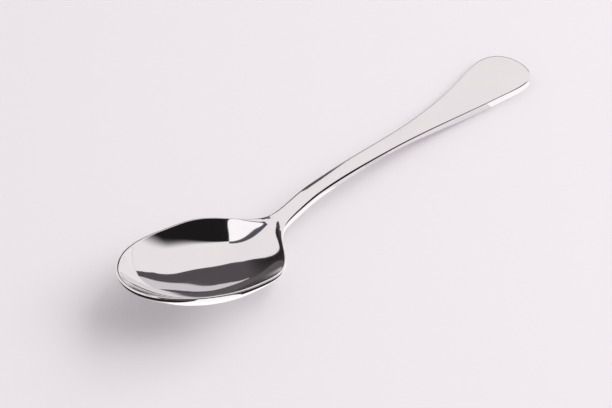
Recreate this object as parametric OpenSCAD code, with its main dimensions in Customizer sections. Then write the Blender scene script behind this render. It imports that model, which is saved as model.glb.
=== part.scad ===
// Dessert spoon of polished stainless steel, lying at rest on a table.
//
// A real spoon is one stamping: a blank is rolled to thickness, cut to an outline and pressed into
// shape. It is described here the same way. A plan outline is filled with rows of points, every
// point gets a height on the upper face and one on the underside, and the rows between two of the
// spoon's natural boundaries make one solid: bowl, neck, stem and handle end.
//
// A station is the distance from the tip of the bowl, measured along the spoon. The origin is on
// the table under the middle of the length, +X points to the handle's end and +Z points up. The
// belly of the bowl and the flat under the handle's end touch the table.

/* [Overall] */
// Length over all, from the tip of the bowl to the end of the handle
length = 180; // [165:1:205]

/* [Bowl outline] */
// Width of the bowl over its rim
bowl_w = 38.6; // [32:0.2:46]
// From the tip to the widest place of the bowl
bowl_front = 31.5; // [26:0.5:37]
// From the widest place to where the shoulders turn in
shoulder_reach = 24.5; // [21:0.5:27]
// How squarely the shoulders turn in
shoulder_turn = 4.5; // [3.5:0.1:6]

/* [Bowl hollow] */
// Width of the flat along the rim
rim_w = 0.7; // [0.5:0.1:1.5]
// Height of the steel at the rim
rim_t = 1.3; // [0.9:0.1:1.8]
// Thickness of the steel at the belly
belly_t = 1.4; // [1:0.1:2]
// From the widest place to where the hollow runs out into the neck
hollow_rear = 30.5; // [27:0.5:32]
// From the widest place to where the belly runs out under the neck
belly_rear = 34; // [32:0.5:37]
// How much sooner the hollow and the belly run out at their sides than along the middle
side_short = 3; // [2:0.5:8]
// How full the bowl is across: a higher number has steeper walls and a flatter bottom
fullness = 3.3; // [2.4:0.1:3.8]
// How full it is across where the shoulders turn in
shoulder_fullness = 1.8; // [1.5:0.1:3.3]

/* [Side view] */
// Height of the tip of the rim above the table
tip_h = 21.4; // [17:0.2:26]
// Fall of the rim at the tip, in degrees
tip_fall = 12; // [6:0.5:16]
// From the widest place of the bowl to the low point of the neck
neck_reach = 28.5; // [26:0.5:31]
// Height of the upper face at the low point of the neck
neck_h = 7.6; // [6:0.2:9.6]
// From the low point of the neck to the top of the arch, on a handle of the stated length
arch_reach = 20; // [14:1:24]
// Height of the upper face at the top of the arch
arch_h = 10; // [7:0.2:13]

/* [Handle] */
// Stated length of the handle behind the neck's low point: on a longer or shorter handle, the reach of
// the arch and the length of the flare stretch or shrink with it
stated_len = 120; // [110:1:140]
// Width of the neck
neck_w = 5.4; // [4.4:0.2:7]
// Width of the stem where the flare starts
stem_w = 6.4; // [5:0.2:8.4]
// Width of the handle where its end starts to round
end_w = 16.8; // [12:0.2:21]
// Length of the flare, measured from the end of the handle, on a handle of the stated length
flare_len = 68; // [55:1:72]
// Length of the rounding at the end of the handle
end_round = 17.5; // [12:0.5:24]
// Length of the flat that lies on the table, measured from the end of the handle
rest_len = 20; // [12:1:30]
// Thickness of the neck
neck_t = 2.8; // [2:0.1:3.6]
// The steel thickens from rim to neck over this length on either side of the neck's low point
neck_blend = 9; // [6:0.5:12]
// Thickness of the stem where the flare starts
stem_t = 2.1; // [1.6:0.1:2.8]
// Thickness of the handle's end
end_t = 3; // [2.2:0.1:3.8]
// Crown across the upper face of the stem
crown_h = 0.15; // [0.05:0.05:0.8]
// From the top of the arch to where the crown is highest
crown_reach = 6; // [2:0.5:12]
// Length over which the crown grows
crown_run = 16; // [8:1:24]

/* [Hidden] */

// Cells across the spoon, and along each of its stretches
cells_across = 20;
cells_tip = 18;
cells_shoulder = 16;
cells_neck = 12;
cells_stem = 10;
cells_flare = 16;
cells_end = 10;
// Points crowd towards the edges of the outline as this grows past 1
edge_crowding = 1.4;

steel = [0.80, 0.79, 0.80];

// Half widths, and the stations that the solids and curves share
bowl_half = bowl_w / 2;
neck_at = bowl_front + neck_reach;
handle_stretch = (length - neck_at) / stated_len;
arch_at = neck_at + arch_reach * handle_stretch;
flare_at = length - flare_len * handle_stretch;
rest_at = length - rest_len;
round_at = length - end_round;

// Exponents of the curve along which the hollow and the belly rise from the widest place to the neck:
// the first keeps the floor deep towards the back, the second meets the neck without a corner
rise_exponent = 3;
close_exponent = 1.4;
// Exponent of the curve that rounds the handle's end
end_exponent = 3;

// From 0 to 1 with no kink at either end
function ramp(s, from, to) =
    let (t = min(1, max(0, (s - from) / (to - from))))
    t * t * (3 - 2 * t);

// Curve between two stations, with a height and a slope given at each
function sweep_curve(s, s0, h0, slope0, s1, h1, slope1) =
    let (d = s1 - s0, t = (s - s0) / d)
    (1 + 2 * t) * pow(1 - t, 2) * h0 + t * pow(1 - t, 2) * d * slope0
    + t * t * (3 - 2 * t) * h1 + t * t * (t - 1) * d * slope1;

// Half width of the stem and of its flare, before the end is rounded off
function straight_half(s) =
    neck_w / 2 + (stem_w - neck_w) / 2 * max(0, s - neck_at) / (flare_at - neck_at);
function flare_half(s) =
    let (gain = end_w / 2 - straight_half(round_at))
    straight_half(s) + gain * pow(max(0, s - flare_at) / (round_at - flare_at), 2);

// Half width of the shoulders, which fall away to the stem as a bell curve
function shoulder_half(s) =
    let (reach = max(0, s - bowl_front) / shoulder_reach)
    flare_half(s) + (bowl_half - flare_half(s)) * exp(-pow(reach, shoulder_turn));

// Height of the edge of the upper face, from tip to end
function edge_h(s) =
    s < neck_at ? sweep_curve(s, 0, tip_h, -tan(tip_fall), neck_at, neck_h, 0)
    : s < arch_at ? sweep_curve(s, neck_at, neck_h, 0, arch_at, arch_h, 0)
    : s < rest_at ? sweep_curve(s, arch_at, arch_h, 0, rest_at, end_t, 0)
    : end_t;

// Height of the steel at its edge
function edge_t(s) =
    rim_t
    + (neck_t - rim_t) * ramp(s, neck_at - neck_blend, neck_at + neck_blend)
    + (stem_t - neck_t) * ramp(s, arch_at, flare_at)
    + (end_t - stem_t) * ramp(s, flare_at, rest_at);

// How full the bowl is across at a station: its walls grow gentler from the widest place backwards
function fullness_at(s) =
    fullness + (shoulder_fullness - fullness) * ramp(s, bowl_front, bowl_front + shoulder_reach);

// Share of its full depth that a pressed dish has at a point of the plan. The dish is deepest along
// the widest place, ends on half an ellipse in front and runs out towards the neck behind.
function dish_share(p, front, rear, half) =
    p.x < bowl_front
    ? max(0, 1 - pow(norm([(p.x - bowl_front) / front, p.y / half]), fullness))
    : let (
        across = min(1, abs(p.y) / half),
        along = (p.x - bowl_front) / (rear - side_short * across * across)
    )
    pow(max(0, 1 - pow(along, rise_exponent)), close_exponent) * (1 - pow(across, fullness_at(p.x)));

// The belly fills the outline, and the hollow stops short of it and so leaves the flat rim
function belly_share(p) = dish_share(p, bowl_front, belly_rear, shoulder_half(p.x));
function hollow_share(p) =
    dish_share(p, bowl_front - rim_w, hollow_rear, shoulder_half(p.x) - rim_w);

// The belly is as deep as lets it just touch the table
belly_stations = concat(
    [for (i = [1:cells_tip]) bowl_front * i / cells_tip],
    [for (i = [1:cells_shoulder - 1]) bowl_front + neck_reach * i / cells_shoulder]
);
belly_depth = min([for (s = belly_stations) (edge_h(s) - edge_t(s)) / belly_share([s, 0])]);
hollow_depth = belly_depth + rim_t - belly_t;

// Crown of the stem's upper face: it is highest just behind the arch and dies out before the flare
function crown(p) =
    let (top = arch_at + crown_reach)
    crown_h * ramp(p.x, top - crown_run, top) * (1 - ramp(p.x, top, flare_at))
    * (1 - pow(min(1, abs(p.y) / flare_half(p.x)), 2));

function upper_h(p) = edge_h(p.x) + crown(p) - hollow_depth * hollow_share(p);
function under_h(p) = edge_h(p.x) - edge_t(p.x) - belly_depth * belly_share(p);

// Places across a row, from -1 at one edge to 1 at the other
columns = [
    for (i = [0:cells_across])
    let (t = 2 * i / cells_across - 1)
    sign(t) * (1 - pow(1 - abs(t), edge_crowding))
];

// Rows of plan points: straight across the spoon, and bowed to follow either end of the outline
function straight_row(s) = [for (t = columns) [s, t * shoulder_half(s)]];
function tip_row(u) = [
    for (t = columns)
    [bowl_front * (1 - u * sqrt(1 - t * t / 2)), bowl_half * t * sqrt(1 - u * u / 2)]
];
function end_row(u) = [
    for (t = columns)
    let (s = round_at + end_round * u * pow(1 - t * t / 2, 1 / end_exponent))
    [s, t * flare_half(s) * sqrt(1 - pow(u, end_exponent) / 2)]
];
function straight_rows(from, to, cells) =
    [for (i = [0:cells]) straight_row(from + (to - from) * i / cells)];

bowl_rows = concat(
    [for (i = [0:cells_tip - 1]) tip_row(1 - i / cells_tip)],
    straight_rows(bowl_front, neck_at, cells_shoulder)
);
neck_rows = straight_rows(neck_at, arch_at, cells_neck);
stem_rows = straight_rows(arch_at, flare_at, cells_stem);
end_rows = concat(
    straight_rows(flare_at, round_at, cells_flare),
    [for (i = [1:cells_end]) end_row(i / cells_end)]
);

// Closed solid between the upper face and the underside of a run of rows
module pressed_blank(rows) {
    across = len(rows[0]);
    last = len(rows) - 1;
    count = len(rows) * across;
    plan = [for (row = rows) each row];
    upper = [for (p = plan) [p.x - length / 2, p.y, upper_h(p)]];
    under = [for (p = plan) [p.x - length / 2, p.y, under_h(p)]];
    function corner(i, j) = i * across + j;
    // Two triangles for the four-sided patch a, b, c, d
    function patch(a, b, c, d) = [[a, b, c], [a, c, d]];
    // Wall between the two faces along the plan edge from point a to point b
    function wall(a, b) = patch(a, b, b + count, a + count);
    faces = concat(
        [for (i = [0:last - 1], j = [0:across - 2])
            each patch(corner(i, j), corner(i, j + 1), corner(i + 1, j + 1), corner(i + 1, j))],
        [for (i = [0:last - 1], j = [0:across - 2])
            each patch(count + corner(i, j), count + corner(i + 1, j),
                count + corner(i + 1, j + 1), count + corner(i, j + 1))],
        [for (i = [0:last - 1]) each wall(corner(i, 0), corner(i + 1, 0))],
        [for (i = [0:last - 1]) each wall(corner(i + 1, across - 1), corner(i, across - 1))],
        [for (j = [0:across - 2]) each wall(corner(0, j + 1), corner(0, j))],
        [for (j = [0:across - 2]) each wall(corner(last, j), corner(last, j + 1))]
    );
    polyhedron(concat(upper, under), faces, convexity = 4);
}

// Open bowl with its flat rim and shoulders
module bowl() {
    color(steel) pressed_blank(bowl_rows);
}

// Narrow neck that rises out of the bowl
module neck() {
    color(steel) pressed_blank(neck_rows);
}

// Slim crowned stem behind the top of the arch
module stem() {
    color(steel) pressed_blank(stem_rows);
}

// Flared end that is held in the hand and lies flat on the table
module handle_end() {
    color(steel) pressed_blank(end_rows);
}

bowl();
neck();
stem();
handle_end();
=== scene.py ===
# %% [markdown]
# Polished dessert spoon
#
# A spoon starts as a flat blank. The blank is cut to an outline, pressed into shape, rounded at its
# edges and polished until it mirrors the room. This lesson makes the same steps in the same order.
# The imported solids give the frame: where the bowl, neck, stem and handle end begin and stop.

# %% Load the frame
import math

import bmesh
import bpy
from mathutils import Matrix, Vector


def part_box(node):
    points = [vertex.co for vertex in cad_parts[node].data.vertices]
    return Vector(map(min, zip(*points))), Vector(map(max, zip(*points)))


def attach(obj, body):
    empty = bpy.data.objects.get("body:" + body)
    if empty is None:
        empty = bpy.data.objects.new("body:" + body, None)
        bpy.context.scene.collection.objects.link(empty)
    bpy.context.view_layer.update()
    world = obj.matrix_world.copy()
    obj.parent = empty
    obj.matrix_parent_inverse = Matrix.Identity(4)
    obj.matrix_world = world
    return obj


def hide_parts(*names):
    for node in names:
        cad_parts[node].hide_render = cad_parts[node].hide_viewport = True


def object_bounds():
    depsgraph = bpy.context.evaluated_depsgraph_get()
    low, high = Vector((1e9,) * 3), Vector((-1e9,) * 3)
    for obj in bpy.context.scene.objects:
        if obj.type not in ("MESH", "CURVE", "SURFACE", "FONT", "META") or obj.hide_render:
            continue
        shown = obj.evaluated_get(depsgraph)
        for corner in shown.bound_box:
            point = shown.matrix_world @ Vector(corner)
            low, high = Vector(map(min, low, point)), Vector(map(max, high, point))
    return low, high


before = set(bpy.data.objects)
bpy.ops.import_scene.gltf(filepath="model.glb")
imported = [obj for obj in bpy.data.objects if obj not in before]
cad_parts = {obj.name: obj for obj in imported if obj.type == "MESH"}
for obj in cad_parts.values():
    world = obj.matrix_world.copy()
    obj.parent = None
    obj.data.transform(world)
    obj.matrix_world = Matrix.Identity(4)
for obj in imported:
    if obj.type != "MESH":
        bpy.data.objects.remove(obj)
cad_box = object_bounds()
print("solids:", sorted(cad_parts), "box:", [tuple(corner) for corner in cad_box])

# %% [markdown]
# The camera comes first, because every later choice is judged through it. It looks down on the
# spoon from the side of the bowl, through a long lens, so that lines hardly converge. The place is
# written as a turn round the spoon, a height angle and a distance, which are easier to change than
# three coordinates.

# %% Camera
VIEW_TURN = math.radians(48.2)
VIEW_HEIGHT = math.radians(39.52)
VIEW_DISTANCE = 0.8486
VIEW_LENS = 164.7
VIEW_AIM = Vector((-0.0178, -0.0033, 0.010))

view_back = Vector((
    -math.sin(VIEW_TURN) * math.cos(VIEW_HEIGHT),
    -math.cos(VIEW_TURN) * math.cos(VIEW_HEIGHT),
    math.sin(VIEW_HEIGHT),
))
lens = bpy.data.cameras.new("long_lens")
lens.lens = VIEW_LENS
camera = bpy.data.objects.new("camera", lens)
camera.location = VIEW_AIM + view_back * VIEW_DISTANCE
camera.rotation_euler = (-view_back).to_track_quat("-Z", "Y").to_euler()
bpy.context.collection.objects.link(camera)
bpy.context.scene.camera = camera
print("camera at", tuple(round(c, 4) for c in camera.location))

# %% [markdown]
# The outline, seen from above. The front of the bowl is half an ellipse. Behind the widest place the
# shoulders fall away as a bell curve, the stem is nearly straight, and the handle widens as a
# parabola towards a squarish round end. A station is a distance from the tip of the bowl. The
# stations where one piece ends and the next begins are read from the frame.

# %% Outline
MM = 0.001
BOWL_FRONT = 31.5 * MM
SHOULDER_REACH = 24.5 * MM
SHOULDER_TURN = 4.5
NECK_WIDTH = 5.4 * MM
STEM_WIDTH = 6.4 * MM
END_WIDTH = 16.8 * MM
END_ROUND = 17.5 * MM
END_EXPONENT = 3

tip_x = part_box("bowl")[0].x
neck_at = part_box("neck")[0].x - tip_x
arch_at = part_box("stem")[0].x - tip_x
flare_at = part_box("handle_end")[0].x - tip_x
length = cad_box[1].x - tip_x
round_at = length - END_ROUND
bowl_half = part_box("bowl")[1].y


def straight_half(s):
    """Half width of the straight stem."""
    grown = max(0, s - neck_at) / (flare_at - neck_at)
    return NECK_WIDTH / 2 + (STEM_WIDTH - NECK_WIDTH) / 2 * grown


def flare_half(s):
    """Half width of the stem with its flare, before the end is rounded off."""
    gain = END_WIDTH / 2 - straight_half(round_at)
    return straight_half(s) + gain * (max(0, s - flare_at) / (round_at - flare_at)) ** 2


def shoulder_half(s):
    """Half width from the widest place of the bowl to the end's rounding."""
    reach = max(0, s - BOWL_FRONT) / SHOULDER_REACH
    return flare_half(s) + (bowl_half - flare_half(s)) * math.exp(-reach ** SHOULDER_TURN)


print("length", round(length / MM, 2), "bowl width", round(2 * bowl_half / MM, 2))

# %% [markdown]
# The side view. One smooth curve carries the edge of the upper face: it falls from the raised tip to
# the neck, climbs over a low arch and comes down to the end, which lies flat on the table. The steel
# is thin at the rim of the bowl, thick at the neck where the spoon would bend, and thick again at the
# end for a good grip.

# %% Side view
TIP_FALL = math.radians(12)
NECK_HEIGHT = 7.6 * MM
ARCH_HEIGHT = 10 * MM
REST_LENGTH = 20 * MM
RIM_THICK = 1.3 * MM
NECK_THICK = 2.8 * MM
NECK_BLEND = 9 * MM
STEM_THICK = 2.1 * MM
END_THICK = 3 * MM

tip_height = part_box("bowl")[1].z
rest_at = length - REST_LENGTH


def ramp(s, start, stop):
    """From 0 to 1 with no kink at either end."""
    t = min(1, max(0, (s - start) / (stop - start)))
    return t * t * (3 - 2 * t)


def sweep_curve(s, s0, h0, slope0, s1, h1, slope1):
    """Curve between two stations, with a height and a slope given at each."""
    run = s1 - s0
    t = (s - s0) / run
    heights = (1 + 2 * t) * (1 - t) ** 2 * h0 + t * t * (3 - 2 * t) * h1
    slopes = t * (1 - t) ** 2 * slope0 + t * t * (t - 1) * slope1
    return heights + slopes * run


def edge_height(s):
    """Height of the edge of the upper face."""
    if s < neck_at:
        return sweep_curve(s, 0, tip_height, -math.tan(TIP_FALL), neck_at, NECK_HEIGHT, 0)
    if s < arch_at:
        return sweep_curve(s, neck_at, NECK_HEIGHT, 0, arch_at, ARCH_HEIGHT, 0)
    if s < rest_at:
        return sweep_curve(s, arch_at, ARCH_HEIGHT, 0, rest_at, END_THICK, 0)
    return END_THICK


def edge_thick(s):
    """Height of the steel at its edge."""
    thick = RIM_THICK
    thick += (NECK_THICK - RIM_THICK) * ramp(s, neck_at - NECK_BLEND, neck_at + NECK_BLEND)
    thick += (STEM_THICK - NECK_THICK) * ramp(s, arch_at, flare_at)
    thick += (END_THICK - STEM_THICK) * ramp(s, flare_at, rest_at)
    return thick


print("tip stands", round(tip_height / MM, 2), "mm above the table")

# %% [markdown]
# The bowl is a hollow pressed down from the rim and a belly that bulges below it. Both follow the
# same kind of rounded power curve, so the wall keeps an even thickness. A press leaves no razor sharp
# line where the rim meets the hollow: the formula is softened there by a small amount, which turns
# the crease into a narrow round that catches the light. The stem has a slight crown where it leaves
# the arch.

# %% Hollow, belly and crown
RIM_WIDTH = 0.7 * MM
BELLY_THICK = 1.4 * MM
HOLLOW_REAR = 30.5 * MM
BELLY_REAR = 34 * MM
SIDE_SHORT = 3 * MM
FULLNESS = 3.3
SHOULDER_FULLNESS = 1.8
RISE_EXPONENT = 3
CLOSE_EXPONENT = 1.4
CREASE_SOFTNESS = 0.015
CROWN_HEIGHT = 0.15 * MM
CROWN_REACH = 6 * MM
CROWN_RUN = 16 * MM
BELLY_SAMPLES = 120


def soften(inside, softness):
    """The positive part of a number, with its kink rounded."""
    return (inside + math.hypot(inside, softness)) / 2


def fullness_at(s):
    """Steepness of the walls at a station, which eases from the widest place to the shoulders."""
    eased = ramp(s, BOWL_FRONT, BOWL_FRONT + SHOULDER_REACH)
    return FULLNESS + (SHOULDER_FULLNESS - FULLNESS) * eased


def dish_share(s, y, front, rear, half, softness):
    """Share of the full depth of a dish that opens at the rim and runs out towards the neck."""
    if s < BOWL_FRONT:
        return soften(1 - math.hypot((s - BOWL_FRONT) / front, y / half) ** FULLNESS, softness)
    across = abs(y) / half
    along = (s - BOWL_FRONT) / (rear - SIDE_SHORT * min(1, across) ** 2)
    rise = max(0, 1 - along ** RISE_EXPONENT) ** CLOSE_EXPONENT
    return rise * soften(1 - across ** fullness_at(s), softness)


def belly_share(s, y):
    """Share of the belly's full depth under a point of the plan."""
    return dish_share(s, y, BOWL_FRONT, BELLY_REAR, shoulder_half(s), 0)


belly_stations = [neck_at * i / BELLY_SAMPLES for i in range(1, BELLY_SAMPLES)]
belly_depth = min((edge_height(s) - edge_thick(s)) / belly_share(s, 0) for s in belly_stations)
hollow_depth = belly_depth + RIM_THICK - BELLY_THICK


def hollow(s, y):
    """Depth of the hollow, with a soft crease along its border."""
    half = shoulder_half(s) - RIM_WIDTH
    return hollow_depth * dish_share(s, y, BOWL_FRONT - RIM_WIDTH, HOLLOW_REAR, half, CREASE_SOFTNESS)


def crown(s, y):
    """Rise of the upper face along the middle of the stem."""
    top = arch_at + CROWN_REACH
    strength = ramp(s, top - CROWN_RUN, top) * (1 - ramp(s, top, flare_at))
    return CROWN_HEIGHT * strength * (1 - min(1, abs(y) / flare_half(s)) ** 2)


def upper_height(s, y):
    """Height of the upper face over a point of the plan."""
    return edge_height(s) + crown(s, y) - hollow(s, y)


def under_height(s, y):
    """Height of the underside under a point of the plan."""
    return edge_height(s) - edge_thick(s) - belly_depth * belly_share(s, y)


print("bowl is", round(hollow_depth / MM, 2), "mm deep")

# %% [markdown]
# The blank. A grid makes the long body, and half of its first and last row is spun round to give the
# nose and the end, so rows of faces run round both ends like the rings of a target and follow the
# rim everywhere. A plain grid squeezed to a point would pinch there, and a pinch shows in a mirror.
# The blank has plain numbers for its size: x runs from -1 to 1 along the body, y from -1 to 1 across.

# %% Blank
NEAR = 1e-4
ROW_PITCH = 0.75 * MM
INNER_COLUMNS = 22
CREASE_COLUMNS = 14
LIP_COLUMNS = 6
NOSE_STEPS = 160
END_STEPS = 64

stretches = [BOWL_FRONT, neck_at, arch_at, flare_at, round_at]
stretch_rows = [round((b - a) / ROW_PITCH) for a, b in zip(stretches, stretches[1:])]
body_rows = sum(stretch_rows)
half_columns = INNER_COLUMNS + CREASE_COLUMNS + LIP_COLUMNS


def spin_end(blank, row_x, side, steps):
    """Spins half of an end row of the grid half way round, outwards from the body."""
    verts = [v for v in blank.verts if abs(v.co.x - row_x) < NEAR and v.co.y * side > -NEAR]
    edges = [e for e in blank.edges if all(v in verts for v in e.verts)]
    bmesh.ops.spin(blank, geom=verts + edges, cent=(row_x, 0, 0), axis=(0, 0, 1),
                   angle=math.pi, steps=steps)


blank = bmesh.new()
bmesh.ops.create_grid(blank, x_segments=body_rows, y_segments=2 * half_columns, size=1)
spin_end(blank, -1, 1, NOSE_STEPS)
spin_end(blank, 1, -1, END_STEPS)
bmesh.ops.remove_doubles(blank, verts=blank.verts, dist=NEAR)
bmesh.ops.recalc_face_normals(blank, faces=blank.faces)
if sum(face.normal.z for face in blank.faces) < 0:
    bmesh.ops.reverse_faces(blank, faces=blank.faces)
print("blank has", len(blank.faces), "faces")

# %% [markdown]
# Thickness. Solidify turns the flat sheet into a plate with an upper face, an underside and a wall
# all round. It is done while the sheet is flat, so that it is plain which of the two faces a vertex
# belongs to when the press comes down.

# %% Plate
PLATE = 0.1
bmesh.ops.solidify(blank, geom=blank.faces[:], thickness=PLATE)
middle = sum(v.co.z for v in blank.verts) / len(blank.verts)
upper_verts = {v for v in blank.verts if v.co.z > middle}
print("plate has", len(blank.faces), "faces")

# %% [markdown]
# Rounding. A stamped edge is tumbled and buffed until it can't cut a lip. On this spoon the rim of the
# bowl and the neck have a small round. It grows over the arch, is smallest where the flare ends and is
# wide again round the tip of the handle. A bevel has one width all along, so here the round is a
# formula too: each edge gets a quarter circle whose radius changes smoothly from station to station.

# %% Lip
BOWL_LIP = 0.5 * MM
NECK_LIP = 0.6 * MM
ARCH_LIP = 1.2 * MM
FLARE_LIP = 0.35 * MM
END_LIP = 0.9 * MM
BOWL_LIP_BLEND = 10 * MM
ARCH_LIP_BLEND = 12 * MM
LIP_MARGIN = 1.15
CREASE_CROWDING = 0.25


def lip_radius(s):
    """Radius of the rounded edge at a station."""
    radius = BOWL_LIP
    radius += (NECK_LIP - BOWL_LIP) * ramp(s, neck_at - BOWL_LIP_BLEND, neck_at)
    radius += (ARCH_LIP - NECK_LIP) * ramp(s, neck_at, arch_at + ARCH_LIP_BLEND)
    radius += (FLARE_LIP - ARCH_LIP) * ramp(s, arch_at + ARCH_LIP_BLEND, round_at)
    return radius


def border_width(radius):
    """Width of the border whose columns keep their distance from the outline."""
    return max(RIM_WIDTH, LIP_MARGIN * radius)


def crowd(t):
    """From 0 to 1, slow at first, so that steps crowd near 0."""
    return CREASE_CROWDING * t + (1 - CREASE_CROWDING) * t ** 3


def from_edge(column, radius):
    """Distance of a column from the outline and the drop of its lip, for columns near the border."""
    if column > half_columns - LIP_COLUMNS:
        turn = math.pi / 2 * (half_columns - column) / LIP_COLUMNS
        return radius * (1 - math.cos(turn)), radius * (1 - math.sin(turn))
    t = 2 * (column - INNER_COLUMNS) / CREASE_COLUMNS - 1
    border = border_width(radius)
    if t < 0:
        return border * (1 + crowd(-t)), 0
    return border - (border - radius) * crowd(t), 0


print("lip radius at the tip and the arch:", lip_radius(0) / MM, lip_radius(arch_at) / MM)

# %% [markdown]
# Cutting to the outline and pressing are one move of every vertex: its place on the blank says where
# it lies in the plan, and the plan says how high it lies. The columns next to the border keep a fixed
# distance from it and crowd round the crease, so the rim is as crisp at the tip as at the neck.

# %% Cut and press


def from_middle(share, reach, radius):
    """Distance of a column from the middle line, where the outline is at reach, and its lip's drop."""
    column = share * half_columns
    if column <= INNER_COLUMNS:
        return (reach - 2 * border_width(radius)) * column / INNER_COLUMNS, 0
    inset, drop = from_edge(column, radius)
    return reach - inset, drop


def station(row):
    """Station of a row of the body, counted from the widest place of the bowl."""
    for rows, start, stop in zip(stretch_rows, stretches, stretches[1:]):
        if row <= rows:
            return start + (stop - start) * row / rows
        row -= rows
    return stretches[-1]


def plan(x, y):
    """Station, offset and lip drop of a point of the blank once it is cut to the outline."""
    past = abs(x) - 1
    if past < NEAR:
        s = station((x + 1) / 2 * body_rows)
        offset, drop = from_middle(abs(y), shoulder_half(s), lip_radius(s))
        return s, math.copysign(offset, y), drop
    share = math.hypot(past, y)
    forward = past / share
    if x < 0:
        ahead = from_middle(share, BOWL_FRONT, BOWL_LIP)[0]
        aside, drop = from_middle(share, bowl_half, BOWL_LIP)
        return BOWL_FRONT - ahead * forward, aside * y / share, drop
    radius = FLARE_LIP + (END_LIP - FLARE_LIP) * ramp(forward, 0, 1)
    behind = from_middle(share, END_ROUND, radius)[0]
    s = round_at + behind * forward
    aside, drop = from_middle(share, flare_half(s), radius)
    return s, math.copysign(aside * math.sqrt(max(0, 1 - forward ** END_EXPONENT)), y), drop


for vert in blank.verts:
    s, y, drop = plan(vert.co.x, vert.co.y)
    if vert in upper_verts:
        vert.co = (s + tip_x, y, upper_height(s, y) - drop)
    else:
        vert.co = (s + tip_x, y, under_height(s, y) + drop)
blank.normal_update()
for face in blank.faces:
    face.smooth = True
print("pressed to", round(max(v.co.z for v in blank.verts) / MM, 2), "mm high")

# %% [markdown]
# The spoon is one stamping with four named stretches. The finished mesh is copied and sliced at the
# stations that the frame gives, and each slice is closed with a flat cap. The cap's edge is marked
# sharp, so the caps don't disturb the shading and the mirror runs on from piece to piece.

# %% Four pieces
SLICE = 1e-7


def trim(mesh, x, keep_side):
    """Cuts the mesh at x, keeps the side that keep_side points to and closes the cut."""
    everything = mesh.verts[:] + mesh.edges[:] + mesh.faces[:]
    bmesh.ops.bisect_plane(mesh, geom=everything, dist=SLICE, plane_co=(x, 0, 0),
                           plane_no=(-keep_side, 0, 0), clear_outer=True)
    rim = [e for e in mesh.edges if e.is_boundary]
    bmesh.ops.holes_fill(mesh, edges=rim, sides=0)
    for edge in rim:
        edge.smooth = False


def make_piece(node, name):
    """Slices one stretch out of the spoon and lets it stand for the solid of that node."""
    low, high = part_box(node)
    mesh = blank.copy()
    if low.x > cad_box[0].x + SLICE:
        trim(mesh, low.x, 1)
    if high.x < cad_box[1].x - SLICE:
        trim(mesh, high.x, -1)
    data = bpy.data.meshes.new(name)
    mesh.to_mesh(data)
    mesh.free()
    piece = bpy.data.objects.new(name, data)
    bpy.context.collection.objects.link(piece)
    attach(piece, "root")
    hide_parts(node)
    return piece


pieces = [make_piece(node, "polished_" + node) for node in ("bowl", "neck", "stem", "handle_end")]
blank.free()
for piece in pieces:
    print(piece.name, len(piece.data.polygons), "faces")

# %% [markdown]
# Shader maths reads best as plain expressions. This small class wraps a socket of a node tree: adding,
# taking away and multiplying add the Math nodes, and one method makes any other node.

# %% Sockets as numbers


class Wire:
    """A socket that can be used in arithmetic."""

    def __init__(self, tree, socket):
        self.tree = tree
        self.socket = socket

    def node(self, kind, inputs=(), output=0, **settings):
        """Adds a node, sets it, feeds its inputs and returns one of its outputs."""
        made = self.tree.nodes.new(kind)
        for key, value in settings.items():
            setattr(made, key, value)
        for key, value in dict(inputs).items():
            if isinstance(value, Wire):
                self.tree.links.new(value.socket, made.inputs[key])
            else:
                made.inputs[key].default_value = value
        return Wire(self.tree, made.outputs[output])

    def math(self, operation, first, second):
        """Adds a Math node with two inputs."""
        return self.node("ShaderNodeMath", {0: first, 1: second}, operation=operation)

    def __add__(self, other):
        return self.math("ADD", self, other)

    def __sub__(self, other):
        return self.math("SUBTRACT", self, other)

    def __mul__(self, other):
        return self.math("MULTIPLY", self, other)

    __radd__ = __add__
    __rmul__ = __mul__


def new_material(name):
    """An empty material, with a wire to build from and its output node."""
    material = bpy.data.materials.new(name)
    material.use_nodes = True
    tree = material.node_tree
    tree.nodes.clear()
    return material, Wire(tree, None), tree.nodes.new("ShaderNodeOutputMaterial")


print("wires ready")

# %% [markdown]
# Polished steel. Buffing leaves a mirror, but not a perfect one: the wheel's fine lines run along the
# spoon, handling leaves faint cloudy patches, and the metal has a slight warm tint. The lines are
# noise stretched along the length. They vary the roughness and, much less, the slope of the surface.

# %% Polished steel
STEEL_LIGHT = (0.83, 0.81, 0.81, 1)
STEEL_DEEP = (0.77, 0.75, 0.76, 1)
MIRROR_ROUGHNESS = 0.045
CLOUD_ROUGHNESS = 0.03
LINE_ROUGHNESS = 0.03
NOISE_MIDDLE = 0.5
CLOUD_SCALE = 60
CLOUD_DETAIL = 3
LINE_SCALE = 2500
LINE_DETAIL = 2
LINE_STRETCH = 0.02
LINE_DEPTH = 0.000002
LINE_STRENGTH = 0.03


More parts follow.
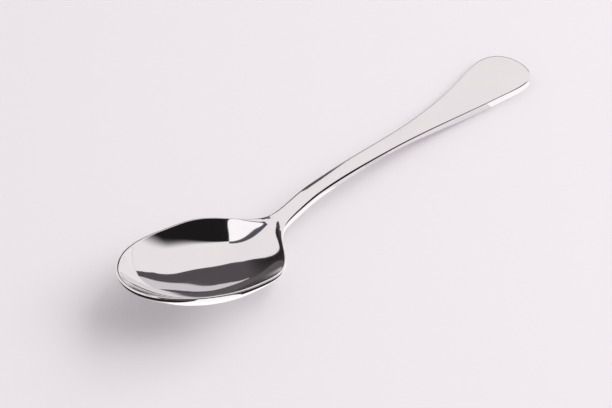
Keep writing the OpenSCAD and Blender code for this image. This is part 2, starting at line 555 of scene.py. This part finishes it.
def polished_steel():
    """Mirror steel with buffing lines along X and faint clouds from handling."""
    material, wire, output = new_material("polished_steel")
    place = wire.node("ShaderNodeTexCoord", output="Object")
    along = wire.node("ShaderNodeMapping", {"Vector": place, "Scale": (LINE_STRETCH, 1, 1)})
    clouds = wire.node("ShaderNodeTexNoise", {"Vector": place, "Scale": CLOUD_SCALE,
                                              "Detail": CLOUD_DETAIL})
    lines = wire.node("ShaderNodeTexNoise", {"Vector": along, "Scale": LINE_SCALE,
                                             "Detail": LINE_DETAIL})
    tint = wire.node("ShaderNodeMix", {"Factor": clouds, "A": STEEL_LIGHT, "B": STEEL_DEEP},
                     output="Result", data_type="RGBA")
    roughness = (MIRROR_ROUGHNESS + CLOUD_ROUGHNESS * (clouds - NOISE_MIDDLE)
                 + LINE_ROUGHNESS * (lines - NOISE_MIDDLE))
    slope = wire.node("ShaderNodeBump", {"Height": lines, "Distance": LINE_DEPTH,
                                         "Strength": LINE_STRENGTH})
    steel = wire.node("ShaderNodeBsdfPrincipled", {"Base Color": tint, "Metallic": 1.0,
                                                   "Roughness": roughness, "Normal": slope})
    wire.tree.links.new(steel.socket, output.inputs["Surface"])
    return material


steel = polished_steel()
for piece in pieces:
    piece.data.materials.append(steel)
print("steel on", len(pieces), "pieces")

# %% [markdown]
# The floor is a wide pale sheet, a little pink. Seen from below it is clear, so that the underside of
# the spoon can be looked at too. The mirror sees it a little brighter than the eye does, as in a room
# where white walls stand behind the sheet. It is part of the set, not of the spoon.

# %% Floor
FLOOR_SIZE = 6
FLOOR_COLOUR = (0.86, 0.825, 0.855, 1)
FLOOR_GLOW = (1.12, 1.09, 1.10, 1)
FLOOR_GLOW_SHARE = 0.4


def pale_floor():
    """Matt pale sheet that can be seen through from below."""
    material, wire, output = new_material("pale_floor")
    below = wire.node("ShaderNodeNewGeometry", output="Backfacing")
    in_mirror = wire.node("ShaderNodeLightPath", output="Is Glossy Ray")
    matt = wire.node("ShaderNodeBsdfDiffuse", {"Color": FLOOR_COLOUR})
    glow = wire.node("ShaderNodeEmission", {"Color": FLOOR_GLOW})
    lit = wire.node("ShaderNodeMixShader", {0: FLOOR_GLOW_SHARE * in_mirror, 1: matt, 2: glow})
    clear = wire.node("ShaderNodeBsdfTransparent")
    sheet = wire.node("ShaderNodeMixShader", {0: below, 1: lit, 2: clear})
    wire.tree.links.new(sheet.socket, output.inputs["Surface"])
    return material


sheet = bmesh.new()
bmesh.ops.create_grid(sheet, x_segments=1, y_segments=1, size=FLOOR_SIZE / 2)
floor_data = bpy.data.meshes.new("floor")
sheet.to_mesh(floor_data)
sheet.free()
floor = bpy.data.objects.new("floor", floor_data)
floor.data.materials.append(pale_floor())
bpy.context.collection.objects.link(floor)
print("floor", FLOOR_SIZE, "m wide")

# %% [markdown]
# Light. A mirror shows what stands round it, so the set is built from what the steel should show: a
# pale room, one bright soft box overhead, and dark cards that draw the shape of the bowl. Plain lamps
# give the floor its light and shadow, and the cards are seen by the mirror alone. All of it is
# measured from a point under the bowl: x along the line of sight, y to its left, z up.
#
# The near wall of the bowl mirrors the far wall, and through it the ceiling. A real ceiling is darker
# than the walls, so the room is dimmed overhead for light that the steel has mirrored twice. That
# draws the dark strip along the inside of the near rim.

# %% Room
ROOM_COLOUR = (0.95, 0.915, 0.925, 1)
ROOM_STRENGTH = 0.655
MIRRORED_STRENGTH = 1.04
TWICE_MIRRORED_STRENGTH = 0.16
DIM_FROM = math.radians(32)
DIM_FULL = math.radians(48)
ONE_MIRROR = 1.5
QUARTER_TURN = 90
SET_CENTRE = Vector((-0.05, 0, 0))
forward_turn = math.atan2(-view_back.y, -view_back.x)
set_axes = Matrix.Translation(SET_CENTRE) @ Matrix.Rotation(forward_turn, 4, "Z")

world = bpy.data.worlds.new("pale_room")
bpy.context.scene.world = world
world.use_nodes = True
world.node_tree.nodes.clear()
air = Wire(world.node_tree, None)
in_mirror = air.node("ShaderNodeLightPath", output="Is Glossy Ray")
mirrors = air.node("ShaderNodeLightPath", output="Glossy Depth")
in_two = air.math("GREATER_THAN", mirrors, ONE_MIRROR)
sight = air.node("ShaderNodeTexCoord", output="Generated")
height = air.node("ShaderNodeSeparateXYZ", {0: sight}, output="Z")
overhead = air.node("ShaderNodeMapRange", {"Value": height, "From Min": math.sin(DIM_FROM),
                                           "From Max": math.sin(DIM_FULL)})
strength = (ROOM_STRENGTH + (MIRRORED_STRENGTH - ROOM_STRENGTH) * in_mirror
            + (TWICE_MIRRORED_STRENGTH - MIRRORED_STRENGTH) * in_two * overhead)
glow = air.node("ShaderNodeBackground", {"Color": ROOM_COLOUR, "Strength": strength})
room_output = world.node_tree.nodes.new("ShaderNodeOutputWorld")
world.node_tree.links.new(glow.socket, room_output.inputs["Surface"])


def toward(left, out, up=0):
    """Place in the set: a turn to the left in degrees, a distance out from the bowl and a height."""
    turn = math.radians(left)
    return Vector((out * math.cos(turn), out * math.sin(turn), up))


print("line of sight is turned", round(math.degrees(forward_turn), 1), "degrees from X")

# %% [markdown]
# One large square lamp stands at the right and lays a soft shadow to the left of the bowl. A weak one
# hangs over the handle and makes the floor a little brighter there. The steel doesn't mirror the
# lamps, because the room and the cards already give the steel its light.

# %% Lamps


def soft_lamp(name, left, out, up, size, power):
    """Square lamp that faces the bowl and lights the floor, but isn't mirrored in the steel."""
    lamp = bpy.data.lights.new(name, "AREA")
    lamp.size = size
    lamp.energy = power
    thing = bpy.data.objects.new(name, lamp)
    place = toward(left, out, up)
    aim = place.to_track_quat("Z", "Y").to_matrix().to_4x4()
    thing.matrix_world = set_axes @ Matrix.Translation(place) @ aim
    thing.visible_camera = False
    thing.visible_glossy = False
    bpy.context.collection.objects.link(thing)


soft_lamp("right_lamp", left=-102, out=1.0, up=1.2, size=1.2, power=10.5)
soft_lamp("handle_lamp", left=-42, out=0.85, up=0.8, size=0.6, power=2.0)
bpy.context.scene.view_settings.view_transform = "Standard"

# %% [markdown]
# Cards. A card is a flat sheet that glows in one colour, bright or dark. Dark cards are what makes
# polished steel look like steel: without them the bowl would be an even grey. A card may fade to a
# second colour, so that its edge is soft in the mirror.

# %% Card maker


def card_finish(name, colour, fade_to=None, fade=None):
    """Glowing card; it fades to another colour between two turns, in degrees, about its own middle."""
    material, wire, output = new_material(name)
    shade = colour
    if fade:
        place = wire.node("ShaderNodeTexCoord", output="Object")
        axes = {axis: wire.node("ShaderNodeSeparateXYZ", {0: place}, output=axis) for axis in "XY"}
        turn = wire.math("ARCTAN2", axes["Y"], axes["X"])
        # Turns run on past the half turn, down to three quarters of a turn to the right
        turn = turn - math.tau * wire.math("GREATER_THAN", turn, math.pi / 2)
        share = wire.node("ShaderNodeMapRange", {"Value": turn, "From Min": math.radians(fade[0]),
                                                 "From Max": math.radians(fade[1])},
                          interpolation_type="SMOOTHSTEP")
        shade = wire.node("ShaderNodeMix", {"Factor": share, "A": colour, "B": fade_to},
                          output="Result", data_type="RGBA")
    light = wire.node("ShaderNodeEmission", {"Color": shade})
    wire.tree.links.new(light.socket, output.inputs["Surface"])
    return material


def card(name, corners, finish, middle=Vector()):
    """Flat card that only the mirror sees, through corners that are measured from its middle."""
    sheet = bmesh.new()
    sheet.faces.new([sheet.verts.new(corner) for corner in corners])
    data = bpy.data.meshes.new(name)
    sheet.to_mesh(data)
    sheet.free()
    data.materials.append(finish)
    thing = bpy.data.objects.new(name, data)
    thing.matrix_world = set_axes @ Matrix.Translation(middle)
    thing.visible_camera = False
    thing.visible_diffuse = False
    thing.visible_shadow = False
    bpy.context.collection.objects.link(thing)


print("cards are placed by turn, distance and height")

# %% [markdown]
# Overhead hang a black card and a soft box in a slate frame. The black card has a corner nearly above
# the bowl. It covers what lies to the right and towards the camera, and a black wall goes on below it.
# It fades into the room at its far edge. The soft box lies along its left edge: it is half an oval, and
# so is the larger frame above it.

# %% Cards overhead
CARD_HEIGHT = 0.7
FAR = 3.4
FAR_CORNER = 1.5 * FAR
CORNER = Vector((-0.095, -0.045, 0))
BLACK_START = -60
BLACK_FULL = -74
BLACK_STOP = -181
WALL_OUT = 2.4
BOX_LENGTH = 0.36
BOX_BULGE = 0.133
FRAME_LENGTH = 0.55
FRAME_FRONT = -0.06
FRAME_BULGE = 0.27
FRAME_LIFT = 0.01
OVAL_STEPS = 32
WHITE = (1.2, 1.18, 1.2, 1)
BLACK = (0.014, 0.012, 0.013, 1)
SLATE = (0.10, 0.10, 0.12, 1)


def half_oval(front, rear, bulge, height):
    """Corners of half an oval: its straight side runs back along the black card, and it bulges left."""
    corners = []
    for i in range(OVAL_STEPS + 1):
        angle = math.pi * i / OVAL_STEPS
        along = (front + rear) / 2 + (rear - front) / 2 * math.cos(angle)
        corners.append(toward(BLACK_STOP, along, height) + toward(QUARTER_TURN, bulge * math.sin(angle)))
    return corners


mirrored_room = [MIRRORED_STRENGTH * part for part in ROOM_COLOUR]
black_finish = card_finish("black_card", BLACK, mirrored_room, fade=(BLACK_FULL, BLACK_START))
card("black_corner", [toward(0, 0, CARD_HEIGHT), toward(BLACK_START, FAR, CARD_HEIGHT),
                      toward((BLACK_START + BLACK_STOP) / 2, FAR_CORNER, CARD_HEIGHT),
                      toward(BLACK_STOP, FAR, CARD_HEIGHT)], black_finish, CORNER)
card("black_wall", [toward(turn, WALL_OUT, up) for turn, up in (
    (BLACK_START, 0), (BLACK_STOP, 0), (BLACK_STOP, CARD_HEIGHT), (BLACK_START, CARD_HEIGHT))],
     black_finish, CORNER)
card("soft_box", half_oval(0, BOX_LENGTH, BOX_BULGE, CARD_HEIGHT), card_finish("white_card", WHITE), CORNER)
card("soft_box_frame", half_oval(FRAME_FRONT, FRAME_LENGTH, FRAME_BULGE, CARD_HEIGHT + FRAME_LIFT),
     card_finish("slate_card", SLATE), CORNER)
print("cards overhead at", CARD_HEIGHT, "m")

# %% [markdown]
# At the left stands a dark screen close to the bowl, with a lilac one in front of its lower part. Both
# run along the spoon. They are near, so the bowl shows them and the handle, farther along, looks over
# their top edge. A place on a screen is a distance along it and a height. The dark screen rises as a
# quarter of an oval, falls to a shelf and climbs slowly beyond it. The lilac one is the space between
# two quarters of ovals, which the bowl draws as a crescent.

# %% Cards at the side
SIDE_RUN = -35
SIDE_OUT = 0.08
CHARCOAL = (0.10, 0.085, 0.095, 1)
DEEP_CHARCOAL = (0.02, 0.017, 0.018, 1)
DARK_FADE = (5, 40)
DARK_LEFT = 0.0262
DARK_PEAK, DARK_HIGH = 0.115, 0.132
SHELF_START, SHELF_STOP, SHELF_HIGH = 0.195, 0.24, 0.095
CLIMB_STOP, CLIMB_HIGH = 1, 0.21
DARK_STOP = 3
LILAC = (0.72, 0.68, 0.72, 1)
LILAC_AHEAD = 0.002
LILAC_LEFT = 0.081
LILAC_PEAK, LILAC_HIGH, LILAC_STOP = 0.125, 0.046, 0.48
CRESCENT_TIP, CRESCENT_HIGH, CRESCENT_STOP = 0.0375, 0.035, 0.152
EDGE_STEPS = 12


def on_screen(along, up, out):
    """Place on a screen that runs along the spoon at the left."""
    return toward(SIDE_RUN + QUARTER_TURN, out, up) + toward(SIDE_RUN, along)


def quarter_oval(floor_end, peak, high):
    """Places on a screen along a quarter of an oval, from where it meets the floor up to its peak."""
    turns = [math.pi / 2 * i / EDGE_STEPS for i in range(EDGE_STEPS + 1)]
    return [(peak + (floor_end - peak) * math.cos(turn), high * math.sin(turn)) for turn in turns]


dark_edge = quarter_oval(DARK_LEFT, DARK_PEAK, DARK_HIGH)
for i in range(1, EDGE_STEPS + 1):
    along = DARK_PEAK + (SHELF_START - DARK_PEAK) * i / EDGE_STEPS
    dark_edge.append((along, DARK_HIGH + (SHELF_HIGH - DARK_HIGH) * ramp(along, DARK_PEAK, SHELF_START)))
dark_edge += [(SHELF_STOP, SHELF_HIGH), (CLIMB_STOP, CLIMB_HIGH), (DARK_STOP, CLIMB_HIGH), (DARK_STOP, 0)]
lilac_edge = quarter_oval(LILAC_STOP, LILAC_PEAK, LILAC_HIGH) + [(LILAC_LEFT, CRESCENT_TIP)]
lilac_edge += reversed(quarter_oval(CRESCENT_STOP, LILAC_LEFT, CRESCENT_HIGH))
card("dark_screen", [on_screen(along, up, SIDE_OUT) for along, up in dark_edge],
     card_finish("dark_card", CHARCOAL, DEEP_CHARCOAL, fade=DARK_FADE))
card("lilac_screen", [on_screen(along, up, SIDE_OUT - LILAC_AHEAD) for along, up in lilac_edge],
     card_finish("lilac_card", LILAC))
print("screens stand", SIDE_OUT, "m from the bowl")

# %% [markdown]
# Glowing sheets lie on the floor in front of the spoon and paint reflections in its outer wall; only the
# mirror sees them. A dark brown one paints a dark reflection along the tip of the bowl, a white one paints
# a bright reflection from there to the neck and a white one by the handle's end. Beside the right half of
# the bowl, the white one is narrow and a dark brown one lies in front of it, which paints a dark line under
# the rim. A place on the sheets is a distance along the spoon, from the middle of the set, and a distance
# in front.

# %% Cards on the floor
SHEET_LIFT = 0.0005
SHEET_START, SHEET_CHANGE, SHEET_STOP = -0.1, -0.031, 0.052
END_SHEET_START, END_SHEET_STOP = 0.117, 0.136
SHEET_BACK, SHEET_FRONT = -0.03, 0.1
DARK_SHEET_START, DARK_SHEET_STOP, DARK_SHEET_BACK = -0.008, 0.022, 0.0195
BROWN = (0.03, 0.02, 0.02, 1)
along_spoon = -math.degrees(forward_turn)


def floor_card(name, start, stop, back, front, finish):
    """Card on the floor between two distances along the spoon and two in front of it."""
    corners = ((start, back), (stop, back), (stop, front), (start, front))
    card(name, [toward(along_spoon, along, SHEET_LIFT) + toward(along_spoon - QUARTER_TURN, ahead)
                for along, ahead in corners], finish)


# White glowing cards: painted bright reflections in the outer wall, unseen by the camera
white_reflection_card = card_finish("painted_bright_reflection", WHITE)
# Dark brown glowing cards: painted dark reflections in the outer wall, unseen by the camera
dark_reflection_card = card_finish("painted_dark_reflection", BROWN)
floor_card("painted_dark_reflection", SHEET_START, SHEET_CHANGE, SHEET_BACK, SHEET_FRONT, dark_reflection_card)
floor_card("painted_bright_reflection", SHEET_CHANGE, DARK_SHEET_START, 0, SHEET_FRONT, white_reflection_card)
floor_card("rim_dark_reflection", DARK_SHEET_START, DARK_SHEET_STOP, DARK_SHEET_BACK, SHEET_FRONT, dark_reflection_card)
floor_card("neck_bright_reflection", DARK_SHEET_START, SHEET_STOP, 0, DARK_SHEET_BACK, white_reflection_card)
floor_card("end_bright_reflection", END_SHEET_START, END_SHEET_STOP, 0, SHEET_FRONT, white_reflection_card)
